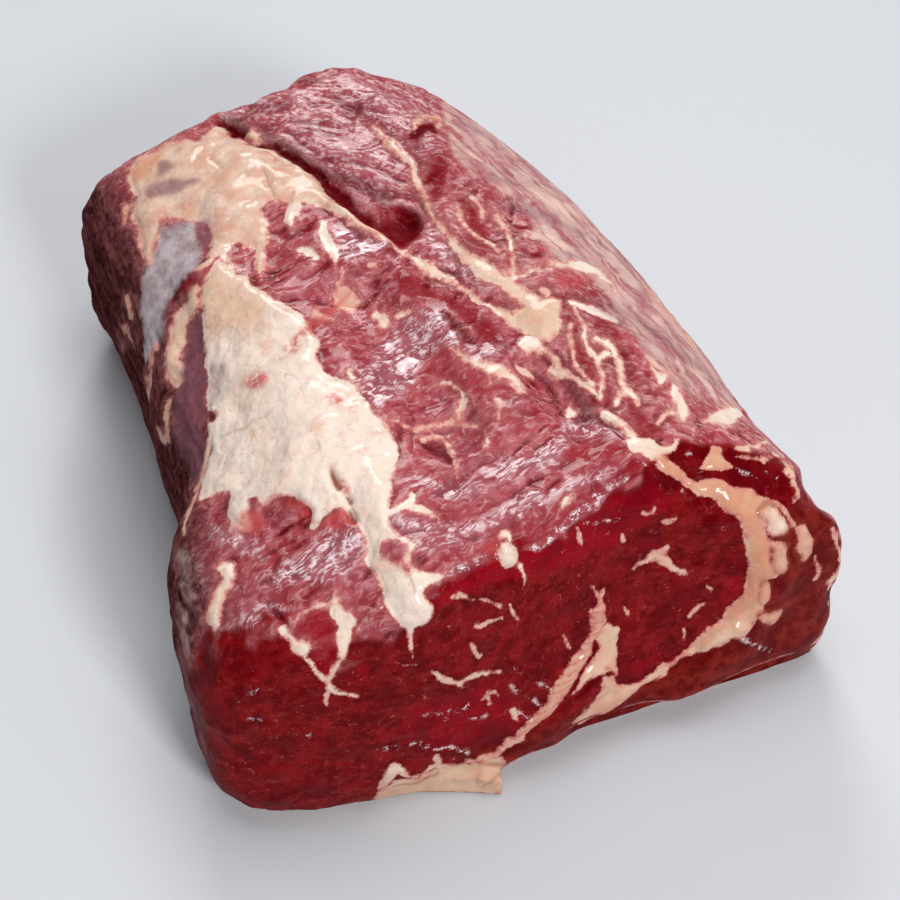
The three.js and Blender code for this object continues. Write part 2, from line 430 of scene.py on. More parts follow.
add_fat(inside(UPPER), warmth=0.3, thickness=0.8, rose=0.45)
marks["fat_warmth"] += 0.6 * ramp(inside(TAN_EDGE), -3, 6)
for hole in UPPER_HOLES.values():
    cut_window(inside(hole), HOLE_DEPTH)
for patch in UPPER_BRUISES.values():
    mark("bruise", inside(patch), strength=0.7)
flap_lines = shapes(FLAP_LINES)
raise_meat(flap_lines, -FLAP_LINE_DEPTH, -3, 1)
mark("seam", flap_lines, LINE, strength=0.5)
add_fat(inside(SEAM_LUMP), warmth=0.6, thickness=1.4, slope=5)
add_fat(inside(SHREDS), warmth=0.0, thickness=0.7, slope=5, rose=0.3)
add_fat(inside(RIB), warmth=0.45, thickness=0.9, rose=0.2)
add_fat(shapes(THIN_RIBS), warmth=0.8, thickness=0.3, slope=6)
add_fat(shapes(STRANDS), warmth=0.4, thickness=0.5, slope=6)
add_film(inside(SILVERSKIN), warmth=0.0, strength=1.0, soft=8)
add_film(stroke(SKIN_BORDER), warmth=0.35, strength=0.7, soft=7)
add_film(inside(CAP_SKIN), warmth=0.1, strength=0.9)
mark("bruise", inside(CAP_SKIN) - 1, 3, strength=0.35)
mark("bruise", inside(FLAP_SKIN), strength=0.15)
mark("bruise", inside(PURPLE_MEAT), strength=0.6)
mark("crimson", shapes([RED_CURL, DARK_RED]), 3, strength=0.7)

# ---- Open seams ----
# The loin muscle and the finger meat part along a natural seam, which ends in a pit. Smaller slots and a
# knife slit follow it down the top.
SEAM = [
    [(219, 126, 1), (232, 130, 2.4), (243, 135, 1.6)],
    [
        (258, 146, 1), (276, 147, 1), (289, 155, 2), (303, 165, 2.6), (317, 174, 3), (328, 184, 4),
        (339, 194, 5), (350, 203, 5), (362, 213, 4), (370, 221, 3),
    ],
]
PIT = [
    (370, 223), (380, 215), (392, 214), (404, 209), (413, 216), (418, 230), (411, 239), (396, 243),
    (386, 234), (376, 231),
]
SLOTS = [
    [(444, 312), (454, 318), (463, 330), (477, 345), (470, 347), (457, 336), (447, 324)],
    [(418, 440), (438, 441), (448, 448), (453, 458), (450, 465), (438, 455), (427, 447)],
    [(537, 372, 1), (546, 382, 2), (552, 392, 2.6), (558, 406, 2.4), (564, 420, 1)],
    [(268, 604, 1), (277, 614, 2.4), (289, 626, 2)],
    [(263, 583, 2), (268, 580, 1.4)],
    [(574, 421, 0.8), (600, 420, 1), (626, 436, 1)],
]
KNOB = [
    [(415, 129, 1.4), (417, 122, 2.6), (424, 118, 2.6), (430, 118, 2)],
    [(428, 122, 2), (434, 119, 3.4), (440, 122, 3.2), (438, 128, 2)],
]
KNOB_SHADOW = [(413, 134, 2), (422, 131, 3.4), (429, 129, 3), (436, 134, 2)]
PIT_RIM = [(366, 211, 1), (374, 207, 2.4), (386, 203, 3), (400, 203, 2.6), (412, 207, 2), (420, 214, 1)]
SEAM_DEPTH = 1.6
SEAM_LIPS = 0.9
PIT_DEPTH = 2.6
PIT_RIM_HEIGHT = 1.4
SLOT_DEPTH = 0.6

seam = shapes(SEAM)
pit = inside(PIT)
slots = shapes(SLOTS)
knob_shadow = stroke(KNOB_SHADOW)
pit_rim = stroke(PIT_RIM)
raise_meat(seam, -SEAM_DEPTH, -3, 3)
raise_meat(pit, -PIT_DEPTH, -7, 9)
raise_meat(slots, -SLOT_DEPTH, -5, 4)
raise_meat(pit_rim, PIT_RIM_HEIGHT, -5, 3)
top = ramp(outward[:, 2], 0.25, 0.7)
height += SEAM_LIPS * ramp(seam, -16, -6) * ramp(seam, -2, -6) * top
add_fat(shapes(KNOB), warmth=0.75, thickness=2.4, slope=5, rose=0.3)
mark("crimson", knob_shadow + 2, 3)
# painted shade in the seam, under the knob, in the slots and deep in the pit
mark("shade_and_dark_meat", union(seam, knob_shadow) + 1, 2)
add_film(pit_rim, warmth=0.7, strength=0.6, soft=3)
mark("shade_and_dark_meat", slots, strength=0.8)
mark("shade_and_dark_meat", pit, 9, strength=0.9)
mark("crimson", pit + 6, 6, strength=0.8)

# ---- Fat between the fingers of meat ----
# Rib fingers run down the right of the top. Creamy seams of fat lie in the grooves between them and meet
# in a thick knot, from which short ribs fan out over the rounded right edge.
MAIN_SEAM = [
    (372, 122, 2), (380, 130, 3), (397, 148, 5), (411, 161, 4), (418, 180, 3), (430, 212, 2.4),
    (444, 228, 2.6), (456, 244, 4), (470, 258, 8), (488, 270, 9), (504, 281, 8), (520, 292, 8),
    (534, 302, 9),
]
SECOND_SEAM = [
    (324, 199, 4), (340, 212, 5), (360, 225, 4), (380, 237, 3), (396, 246, 2), (412, 255, 2), (424, 264, 4),
    (440, 272, 4), (452, 280, 2.4), (466, 290, 2), (480, 298, 2.6), (494, 306, 3), (510, 316, 6),
    (524, 330, 6),
]
KNOT = [
    (513, 312), (522, 304), (536, 296), (558, 297), (562, 311), (558, 328), (548, 341), (536, 338),
    (522, 328),
]
WHITE_LOBES = [
    [(518, 340), (523, 335), (533, 335), (541, 341), (541, 349), (530, 351), (522, 348)],
    [(547, 370), (554, 366), (566, 370), (564, 377), (552, 378)],
    [(600, 411), (608, 409), (620, 415), (623, 422), (612, 423), (602, 418)],
    [(564, 418), (568, 410), (571, 408), (577, 417), (568, 422)],
]
LOW_CHAIN = [(540, 350, 4), (552, 360, 4), (560, 368, 4), (574, 377, 3), (588, 387, 2.6), (600, 398, 2)]
FINGER_LINES = [
    [(494, 212, 1.4), (505, 226, 2), (511, 242, 2), (515, 260, 2), (515, 277, 3)],
    [(457, 207, 1), (464, 221, 1.6), (474, 231, 1.4), (489, 239, 1.2), (500, 250, 1)],
    [(471, 196, 1.2), (478, 207, 1.6), (481, 212, 1)],
    [(500, 278, 2), (514, 276, 3), (526, 274, 1.4), (540, 266, 1)],
    [(540, 287, 1.4), (548, 291, 2), (545, 297, 1.4)],
    [(574, 304, 2), (580, 320, 1.6), (586, 340, 1.6), (596, 358, 2), (602, 376, 2), (600, 396, 1.6)],
    [(568, 324, 1.2), (570, 340, 1.4), (574, 358, 1.6), (584, 374, 1.2), (592, 384, 1)],
    [(596, 338, 1.2), (611, 346, 2), (620, 360, 3), (624, 376, 4), (628, 388, 4)],
    [(616, 402, 1.6), (620, 392, 3), (630, 389, 4), (636, 393, 3), (640, 400, 1.4)],
    [(596, 355, 2), (603, 353, 3), (609, 352, 2)],
    [(622, 422, 3), (630, 430, 3), (640, 438, 3), (652, 444, 4)],
    [(568, 300, 1.4), (580, 303, 3.4), (596, 307, 5), (610, 312, 5), (619, 316, 2)],
    [(660, 420, 2), (668, 414, 2), (680, 412, 1)],
]
LEAF = [(670, 380), (677, 384), (686, 396), (691, 410), (686, 423), (679, 418), (674, 402)]
STAR = [(652, 366), (660, 372), (672, 368), (668, 377), (661, 384), (656, 380)]
FAN = [(706, 420), (711, 413), (724, 406), (741, 412), (732, 426), (718, 424)]
EDGE_ARC = [(548, 263, 2), (560, 265, 4), (574, 266, 6), (588, 268, 6), (604, 274, 5), (617, 289, 2.4)]
DARK_FINGERS = [
    [(430, 155), (446, 158), (446, 176), (438, 197), (431, 196), (428, 178)],
    [(460, 230), (470, 238), (487, 246), (486, 254), (472, 248), (462, 240)],
    [(640, 428), (652, 420), (664, 419), (666, 430), (660, 436), (648, 436)],
    [(456, 198), (468, 200), (484, 222), (496, 244), (488, 250), (470, 236), (458, 220)],
    [(566, 310), (573, 312), (580, 336), (592, 364), (596, 388), (586, 378), (574, 352), (566, 330)],
    [(588, 314), (606, 320), (616, 336), (622, 352), (610, 344), (596, 334)],
    [(630, 396), (640, 404), (648, 418), (638, 424), (626, 410)],
    [(604, 380), (612, 386), (612, 400), (604, 398)],
    [(440, 290), (470, 306), (498, 330), (510, 352), (484, 344), (456, 316)],
    [(400, 270), (430, 284), (440, 300), (414, 296), (396, 284)],
]
GROOVE_DEPTH = 0.8
LINE_SWELL = 0.7  # how much wider the thin lines are than drawn
SHADE_WIDTH = 4  # of the uneven dark border that follows the fat

finger_fat = shapes([MAIN_SEAM, SECOND_SEAM, KNOT, LOW_CHAIN])
thin_fat = shapes(FINGER_LINES) + LINE_SWELL
between_fingers = union(finger_fat, thin_fat)
raise_meat(between_fingers, -GROOVE_DEPTH, -16, 0)
add_fat(finger_fat, warmth=0.3, thickness=0.6, slope=7, rose=0.12)
marks["fat_warmth"] += 0.3 * ramp(inside(KNOT), -4, 12)
add_fat(shapes(WHITE_LOBES), warmth=0.05, thickness=0.8, slope=6)
add_fat(thin_fat, warmth=0.1, thickness=0.25, slope=5, rose=0.1)
add_fat(shapes([LEAF, STAR, FAN, EDGE_ARC]), warmth=0.12, thickness=0.3, slope=6)
dark_fingers = shapes(DARK_FINGERS)
mark("crimson", dark_fingers, 5, strength=0.85)
mark("shade_and_dark_meat", dark_fingers - 1, 5, strength=0.35)
# painted shade in the grooves just beside the fat
beside_fat = np.minimum(between_fingers + SHADE_WIDTH, -between_fingers)
mark("shade_and_dark_meat", beside_fat - 1 + 8 * cloud(places / 9, 140, 2), 2, strength=0.4)

# ---- Patches on the middle of the top ----
# Thin scraps of fat and skin cling to the loin where the cover was pulled off it. Painted sheen lies
# on its fine wrinkles, and painted glints run along the cut edge.
CREAM_BAND = [
    (451, 347), (458, 350), (470, 359), (484, 362), (500, 364), (510, 371), (520, 381), (527, 393),
    (519, 392), (511, 386), (502, 378), (492, 376), (490, 384), (486, 376), (478, 371), (468, 366),
    (459, 357),
]
TOP_SCRAPS = [
    [(438, 386, 1.4), (447, 385, 2), (457, 389, 1.6), (463, 397, 2)],
    [(457, 398), (470, 399), (464, 406), (461, 418), (464, 426), (459, 424), (457, 410)],
    [(492, 398), (502, 397), (504, 404), (500, 413), (497, 406)],
    [(500, 412, 1.4), (499, 420, 1.4)],
    [(386, 419, 1.4), (404, 422, 1.6), (424, 426, 2), (444, 422, 1.8), (460, 424, 1.6), (474, 428, 1.2)],
    [(422, 438, 2), (434, 436, 3), (444, 438, 2.4), (450, 447, 2), (455, 460, 2), (459, 477, 1.4)],
    [(560, 500), (564, 495), (569, 497), (568, 504), (563, 509)],
    [(561, 508, 1.4), (559, 518, 1)],
    [(516, 367, 2), (526, 370, 4), (534, 374, 3)],
    [(300, 249, 4), (309, 252, 5), (317, 259, 3)],
    [(318, 219), (326, 220), (333, 236), (339, 247), (338, 262), (333, 264), (327, 252), (321, 238)],
    [(341, 270, 1.6), (343, 282, 2), (339, 288, 2), (342, 296, 1.6)],
    [(316, 315, 3), (324, 316, 4), (331, 317, 2)],
    [(378, 314, 4), (384, 320, 6), (382, 328, 4)],
    [(395, 316, 3), (402, 312, 4), (409, 309, 2)],
    [(373, 264, 3), (375, 263, 3)],
    [(350, 372, 3), (354, 376, 4)],
    [(485, 430, 1.4), (488, 438, 1.8), (490, 446, 1.2)],
    [(500, 537, 3), (506, 533, 5), (512, 540, 3)],
]
CRUMBLED = [(336, 292), (348, 288), (358, 298), (354, 312), (338, 310)]
KNUCKLE = [(500, 546), (510, 543), (519, 550), (519, 562), (512, 569), (503, 564)]
KNUCKLE_TAIL = [(518, 564, 2.4), (523, 573, 2.4), (524, 582, 1)]
KNUCKLE_FLUSH = [(484, 547), (492, 540), (502, 542), (500, 556), (490, 556)]
SMOOTH_RED = [
    (440, 348), (454, 350), (468, 364), (488, 377), (502, 381), (513, 393), (506, 399), (476, 395),
    (456, 391), (438, 377), (424, 376), (430, 360),
]
RED_BUNDLE = [(562, 456), (574, 444), (600, 440), (622, 446), (610, 460), (580, 460)]
CRUMBS = [(320, 285), (380, 290), (440, 330), (430, 360), (360, 345), (328, 322)]
FLANK_SHEEN = [(184, 556, 6), (190, 590, 9), (186, 626, 8), (188, 664, 4)]
SHEENS = [
    [
        (424, 308), (440, 309), (448, 324), (460, 340), (480, 350), (492, 358), (476, 362), (452, 347),
        (438, 346), (428, 354), (420, 370), (410, 384), (394, 396), (376, 408), (364, 396), (356, 380),
        (372, 360), (386, 344), (400, 328), (412, 316),
    ],
    [
        (338, 226), (352, 227), (368, 234), (384, 241), (380, 249), (366, 255), (354, 260), (344, 260),
        (341, 246),
    ],
    [
        (566, 424), (580, 417), (598, 418), (618, 425), (626, 432), (612, 434), (580, 431), (568, 442),
        (558, 458), (540, 468), (520, 474), (492, 482), (484, 476), (500, 462), (520, 454), (540, 450),
        (552, 440),
    ],
    [
        (478, 528, 3), (496, 521, 4), (516, 508, 6), (534, 501, 5), (559, 491, 3), (584, 481, 3),
        (610, 472, 2),
    ],
    [(410, 480, 3), (430, 488, 5), (453, 491, 6), (475, 488, 4), (490, 480, 4)],
    [(392, 520, 3), (420, 526, 6), (450, 532, 6), (478, 530, 5)],
    [(396, 540, 2), (430, 546, 5), (470, 546, 3)],
    [(484, 348, 3), (495, 347, 6), (507, 350, 4)],
    [(440, 590, 7), (444, 600, 8), (440, 610, 5)],
    [(258, 580), (301, 555), (342, 530), (364, 536), (358, 562), (332, 578), (301, 583), (276, 583)],
    [(212, 531, 5), (238, 540, 8), (258, 552, 6)],
    [(203, 637, 3), (231, 630, 5), (256, 618, 7), (276, 607, 6)],
    [(188, 552, 7), (197, 582, 10), (194, 618, 7)],
    [(446, 236, 5), (462, 262, 6), (486, 282, 5)],
    [(430, 232, 5), (440, 250, 6), (462, 276, 4)],
]
FAR_SHEEN = [
    (222, 116), (260, 100), (300, 92), (340, 78), (400, 88), (436, 104), (440, 140), (426, 160), (408, 178),
    (380, 200), (356, 192), (332, 172), (304, 154), (280, 142), (250, 128),
]
FAR_STREAKS = [
    [(228, 127, 1), (250, 118, 1.6), (275, 108, 2.4), (292, 105, 2)],
    [(294, 121, 2), (303, 122, 3), (330, 122, 1.6)],
    [(335, 96, 4), (345, 104, 6), (358, 109, 5)],
    [(308, 130, 1), (322, 131, 2), (352, 136, 1)],
    [(318, 155, 1), (345, 158, 2.4), (362, 162, 2)],
    [(300, 82, 3), (312, 82, 3), (322, 80, 2)],
    [(330, 176, 3), (346, 180, 6), (362, 190, 5)],
]
RIDGES = [
    [(566, 428, 6), (548, 452, 8), (510, 472, 7), (470, 488, 5)],
    [(478, 528, 2), (516, 508, 4), (559, 491, 3), (606, 474, 2)],
]
EDGE_GLINTS = [
    [(530, 550, 1), (539, 546, 2), (559, 531, 3), (584, 508, 3.4), (609, 488, 3.6), (624, 480, 2)],
    [(446, 577, 1), (456, 572, 2), (470, 566, 2.6), (488, 559, 2)],
]
RIDGE_HEIGHT = 1.0
SHEEN_BORDER = 9

add_fat(shapes([CREAM_BAND] + TOP_SCRAPS), warmth=0.15, thickness=0.3, slope=4, rose=0.1)
add_fat(inside(CRUMBLED), warmth=0.5, thickness=0.2, slope=8, rose=0.8)
add_fat(shapes([KNUCKLE, KNUCKLE_TAIL]), warmth=0.15, thickness=1.2, slope=6)
mark("stain", inside(KNUCKLE_FLUSH), strength=0.5)
mark("flecks", inside(CRUMBS), 14, strength=0.7)
smooth_red = inside(SMOOTH_RED)
mark("crimson", smooth_red, strength=0.35)
mark("crimson", inside(RED_BUNDLE), 5, strength=0.7)
# painted sheen: a pale pink skin laid over the lobe's left flank to lighten it
add_film(stroke(FLANK_SHEEN, shown=everywhere), warmth=0.6, strength=0.8, soft=12)
edge_glints = shapes(EDGE_GLINTS)
mark("sheen", edge_glints + 2, 2)
mark("sheen", shapes(SHEENS), SHEEN_BORDER)
mark("sheen", inside(FAR_SHEEN), SHEEN_BORDER, strength=0.45)
mark("shade_and_dark_meat", shapes(FAR_STREAKS), 3, strength=0.6)
raise_meat(shapes(RIDGES), RIDGE_HEIGHT, -12, 5)

# ---- Skin over the right edge ----
# A thin pink membrane, with fat showing through it in long streaks, wraps the rounded right edge.
EDGE_SKIN = [
    (440, 100), (446, 128), (448, 156), (470, 176), (500, 196), (528, 218), (540, 246), (552, 262),
    (590, 284), (622, 320), (640, 350), (668, 372), (700, 400), (742, 424), (790, 460), (850, 430),
    (760, 330), (640, 200), (540, 120), (470, 80),
]
CREAM_STREAKS = [
    [(446, 104, 6), (454, 122, 8), (456, 146, 6)],
    [(464, 152, 4), (486, 156, 6), (504, 168, 4)],
    [(496, 188, 4), (526, 192, 8), (552, 202, 9), (582, 220, 6), (604, 240, 3)],
    [(528, 232, 4), (546, 236, 6), (566, 250, 6)],
    [(600, 258, 3), (622, 282, 4), (640, 300, 5), (656, 318, 4)],
    [(634, 326, 2), (659, 346, 4), (684, 366, 5), (716, 394, 5), (734, 410, 3)],
    [(676, 342, 4), (690, 354, 5), (700, 362, 3)],
    [(648, 356, 2), (662, 370, 4), (680, 384, 3)],
    [(762, 440, 4), (772, 446, 7), (782, 456, 4)],
]
PURPLE_STREAKS = [
    [(453, 124, 2), (475, 128, 4), (494, 140, 2)],
    [(470, 184, 1), (482, 178, 2), (505, 180, 2.4), (524, 188, 1.4)],
    [(498, 202, 3), (528, 211, 5), (556, 222, 4), (584, 236, 3)],
    [(606, 296, 3), (638, 320, 5), (665, 342, 4), (690, 364, 4), (716, 388, 3)],
    [(575, 290, 2), (600, 300, 3), (622, 318, 3)],
    [(560, 252, 1), (590, 260, 2), (612, 276, 1.4)],
]
SKIN_RIM = [(596, 226, 2), (620, 249, 3.4), (637, 272, 3)]
TAN_RIM = [
    (643, 278, 2), (659, 299, 3), (677, 319, 3), (695, 342, 4), (711, 358, 4), (729, 388, 3), (742, 404, 2),
]
FLUSH = [(558, 276), (575, 274), (597, 277), (590, 284), (562, 284)]
add_film(inside(EDGE_SKIN), warmth=0.75, strength=0.85, soft=12)
add_film(shapes(CREAM_STREAKS), warmth=1.0, strength=1.0)
mark("bruise", shapes(PURPLE_STREAKS), strength=0.4)
mark("crimson", stroke(SKIN_RIM, shown=everywhere), 3, strength=0.8)
add_fat(stroke(TAN_RIM), warmth=0.7, thickness=0.3, slope=4, rose=0.3)
mark("stain", inside(FLUSH), strength=0.5)

# ---- Cut face ----
# One long knife stroke bared the eye, ringed by a hook of tan fat, with the cap muscle over it and a thin
# layer of meat and a strip of back fat below.
FACE_TOP = [
    (170, 700), (186, 655), (201, 640), (229, 634), (281, 628), (330, 652), (372, 640), (400, 628),
    (432, 592), (462, 572), (492, 560), (521, 547), (545, 544), (574, 526), (609, 496), (635, 482),
    (648, 462), (664, 446), (700, 444), (762, 446), (800, 470), (860, 560), (860, 700), (700, 860),
    (200, 860), (150, 780),
]
HOOK = [
    (654, 455), (668, 456), (680, 466), (690, 477), (702, 480), (720, 481), (736, 486), (750, 488),
    (762, 496), (772, 501), (784, 507), (793, 520), (794, 528), (786, 518), (774, 508), (766, 520),
    (768, 534), (774, 542), (770, 550), (775, 562), (778, 576), (768, 579), (770, 590), (768, 604),
    (759, 614), (752, 628), (742, 638), (722, 646), (700, 652), (680, 659), (668, 671), (656, 680),
    (644, 686), (622, 702), (605, 711), (590, 718), (573, 723), (580, 713), (592, 702), (600, 692),
    (602, 677), (613, 675), (618, 682), (634, 682), (642, 680), (650, 674), (664, 666), (678, 656),
    (688, 646), (698, 636), (708, 628), (720, 620), (730, 608), (738, 598), (746, 588), (747, 564),
    (747, 550), (746, 538), (741, 528), (738, 518), (728, 513), (721, 508), (714, 500), (700, 495),
    (688, 486), (672, 478), (660, 469),
]
HOOK_FOOT = [
    (573, 724), (590, 700), (610, 672), (650, 668), (700, 630), (744, 618), (748, 636), (690, 664),
    (640, 694),
]
HOOK_START = [
    (626, 438), (634, 434), (650, 438), (666, 446), (680, 438), (676, 450), (664, 456), (652, 462),
    (642, 454), (630, 450),
]
THICK_LOBE = [
    (694, 641), (712, 630), (726, 622), (741, 621), (750, 628), (743, 637), (726, 645), (702, 652),
]
INNER_RIM = [(743, 532, 1.6), (748, 552, 2.6), (750, 572, 2.6), (755, 588, 2), (756, 606, 1)]
CAP_MUSCLE = [
    (672, 457), (680, 450), (688, 446), (702, 445), (712, 448), (740, 449), (760, 450), (778, 458),
    (787, 470), (792, 480), (793, 492), (788, 499), (764, 492), (752, 487), (732, 482), (700, 478),
    (687, 474), (690, 468), (704, 466), (700, 462), (684, 461),
]
CAP_WEDGE = [(704, 464), (709, 455), (715, 445), (722, 449), (726, 457), (735, 466), (722, 470), (702, 468)]
CAP_LINES_FAT = [
    [(736, 455, 0.8), (760, 454, 1.2), (780, 456, 1)],
    [(738, 447, 1.4), (756, 445, 2), (766, 442, 3)],
    [(784, 462, 1.6), (795, 478, 2), (799, 493, 2), (794, 501, 1.6)],
]
ROPE = [
    (599, 598, 2), (598, 606, 4), (596, 616, 6), (597, 627, 6), (591, 640, 4), (585, 654, 5), (575, 668, 7),
    (564, 683, 8), (553, 698, 6), (541, 712, 5), (529, 725, 4), (519, 734, 3),
]
ROPE_TIP = [[(591, 585, 1.2), (598, 595, 2.4)], [(604, 586, 0.8), (599, 595, 2)]]
WEDGE = [
    (600, 626), (612, 625), (618, 632), (617, 660), (619, 675), (608, 670), (602, 673), (590, 683),
    (573, 693), (585, 673), (593, 660), (600, 645), (597, 634),
]
ROPE_SHADE = [
    [(591, 637, 1.6), (596, 648, 1.8), (586, 669, 1)],
    [(603, 676, 1), (590, 688, 2), (576, 698, 2)],
]
PALE_LINE = [
    (519, 735, 4), (511, 741, 4), (503, 747, 3), (496, 754, 2.4), (480, 758, 2), (460, 762, 2),
    (444, 766, 2.4), (432, 767, 2.4), (420, 774, 2), (404, 772, 2.4), (394, 766, 4), (388, 774, 5),
    (380, 786, 2.4),
]
STRIP = [
    (352, 812), (370, 803), (380, 790), (392, 780), (404, 775), (420, 776), (440, 766), (470, 762),
    (502, 757), (504, 793), (470, 797), (430, 800), (396, 806), (372, 812),
]
WHITE_KNOB = [(437, 757, 3.4), (440, 762, 3)]
STRIP_LINES = [
    [(394, 786, 0.8), (420, 779, 1), (440, 771, 0.8)],
    [(482, 788, 0.8), (498, 773, 0.8)],
    [(480, 762, 1.6), (498, 764, 2.4), (508, 760, 1)],
]
FACE_LINES = [
    [(454, 598, 1.2), (466, 595, 2.2), (476, 599, 1.2)],
    [(482, 599, 1), (492, 601, 1.8), (498, 605, 1)],
    [(508, 604, 1), (516, 618, 1.6)],
    [(476, 626, 1.6), (484, 623, 1.8), (502, 618, 1.2)],
    [(470, 642, 1.2), (476, 653, 2.6), (482, 651, 1.4)],
    [(434, 672, 1.6), (440, 678, 3), (456, 683, 3.6), (460, 688, 1.4)],
    [(456, 683, 3), (470, 678, 2.6), (484, 673, 2), (500, 672, 1)],
    [(484, 700, 1.4), (492, 694, 1.8), (500, 696, 1.2)],
    [(490, 696, 1), (490, 704, 1.2)],
    [(512, 711, 3), (518, 716, 1.6)],
    [
        (632, 569, 1.6), (642, 563, 2.4), (650, 559, 3.4), (658, 557, 4.4), (665, 563, 3.4),
        (674, 570, 2.8), (684, 571, 2),
    ],
    [(662, 556, 1.6), (668, 549, 1)],
    [(690, 617, 1.6), (694, 611, 3.2), (704, 606, 1)],
    [(577, 530, 1.4), (579, 542, 1.4)],
    [(623, 534, 1), (624, 541, 2.6)],
    [(642, 514, 1), (650, 512, 1.6), (653, 508, 1)],
    [(660, 524, 1), (668, 522, 2), (676, 517, 1)],
    [(562, 533, 1), (566, 538, 1)],
    [(707, 588, 1.6), (712, 590, 2)],
    [(624, 608, 1.2), (628, 612, 1.6)],
    [(396, 662, 0.8), (414, 663, 1)],
    [(564, 636, 0.8), (572, 648, 0.8)],
    [(684, 628, 0.8), (683, 640, 0.8)],
]
Y_FAT = [
    [
        (332, 604), (336, 592), (340, 606), (354, 617), (357, 624), (352, 635), (348, 648), (341, 658),
        (337, 655), (336, 640), (336, 624), (330, 612),
    ],
    [(280, 630), (290, 628), (296, 637), (306, 642), (309, 650), (303, 657), (294, 650), (288, 640)],
    [(304, 656, 2.4), (312, 666, 2.6), (322, 678, 3), (330, 686, 3.6), (342, 692, 3), (358, 697, 1)],
    [(340, 657, 2.4), (333, 668, 2.4), (329, 682, 2.6), (328, 703, 1)],
    [(296, 622, 1.2), (306, 612, 1.8), (322, 605, 2), (334, 603, 2)],
    [(359, 630, 1.4), (364, 620, 2)],
]
Y_RED = [
    (298, 626), (312, 613), (326, 608), (332, 620), (335, 640), (334, 658), (328, 674), (320, 674),
    (312, 663), (308, 645),
]
SEVEN = [
    (218, 572), (225, 565), (234, 564), (235, 578), (228, 592), (222, 606), (220, 625), (213, 632),
    (208, 620), (213, 604), (217, 590), (222, 579),
]
LUMPS = {
    "top": [(757, 511), (764, 504), (774, 508), (781, 516), (788, 526), (784, 534), (772, 536), (766, 522)],
    "lower": [(772, 541), (782, 544), (788, 560), (784, 570), (776, 568), (772, 552)],
    "side": [(796, 530), (806, 526), (812, 540), (808, 558), (802, 560), (797, 548)],
    "foot": [(760, 614), (768, 611), (780, 612), (778, 622), (766, 624)],
    "rim": [(762, 584), (769, 582), (771, 594), (768, 604), (762, 600)],
}
RIM = [
    [(834, 528, 2), (840, 546, 2.4), (841, 560, 2.4), (836, 576, 2.4), (830, 592, 2)],
    [(834, 604, 3), (836, 614, 4), (832, 630, 5), (822, 642, 5), (814, 648, 3)],
    [(816, 556, 1), (819, 568, 1.4), (814, 580, 1)],
]
LOWER_MEAT = [
    (520, 735), (575, 724), (606, 712), (646, 688), (682, 660), (730, 645), (756, 622), (768, 606),
    (780, 560), (800, 500), (850, 520), (860, 700), (700, 860), (420, 800), (430, 770),
]
CRIMSON_BAND = [
    (432, 604, 4), (480, 580, 10), (530, 562, 12), (571, 545, 16), (612, 520, 20), (652, 500, 16),
]
EDGE_FLUSH = [(436, 594, 4), (492, 558, 10), (545, 536, 12), (609, 488, 14), (650, 456, 10)]
FACE_GLINTS = [
    [(512, 668, 2), (524, 674, 2)],
    [(510, 683, 1.5), (518, 691, 2)],
    [(526, 695, 2), (540, 708, 2)],
    [(518, 710, 1.5), (530, 718, 2)],
    [(536, 684, 1.5), (552, 689, 1.5)],
    [(424, 712, 1.5), (446, 718, 1.5)],
    [(448, 712, 2), (468, 706, 2)],
    [(470, 718, 1.5), (486, 716, 1.5)],
    [(378, 748, 2), (420, 745, 2.4), (468, 752, 2.4)],
    [(250, 718, 1.5), (262, 720, 1.5)],
    [(584, 524, 1.5), (617, 520, 2)],
    [(740, 640, 2), (772, 654, 2)],
    [(242, 700, 1.4), (258, 690, 1.4)],
    [(300, 733, 1.4), (310, 735, 1.2)],
    [(738, 470, 2), (762, 475, 2)],
    [(770, 468, 1.5), (784, 476, 1.5)],
    [(690, 452, 1.5), (702, 450, 1.5)],
    [(628, 454, 2), (646, 468, 2)],
]
CRIMSON_LOW = [
    [(420, 704), (470, 692), (510, 690), (522, 722), (480, 748), (430, 752), (400, 740)],
    [(438, 666, 3), (462, 668, 8), (490, 662, 3)],
    [(640, 550, 3), (652, 546, 8), (662, 552, 4)],
    [(610, 674, 3), (640, 668, 8), (672, 646, 4)],
    [(716, 606, 4), (734, 588, 6), (740, 560, 4)],
    [(360, 664, 8), (366, 684, 6)],
]
HOOK_BEND = [(738, 580), (762, 580), (756, 604), (724, 616)]
DENTS = {
    "over the cap muscle": ([(814, 482, 4), (822, 498, 6)], 3.4),
    "waist": ([(838, 592, 2), (838, 596, 2)], 1.4),
}
BORDER = 7  # half width of the border between outer and cut meat
LEFT_BORDER = 14  # what the rounded left end adds to it
LEFT_END = (62, 30)
BORDER_WANDER = 1.6  # how ragged that border is, as a share of its width
CAP_MUSCLE_DEPTH = 1.0
TWIST_LEAN = 0.55  # of the rope's turns, across for each unit down
TWIST = 1.1  # radians of turn to a unit
TWIST_HEIGHT = 0.3

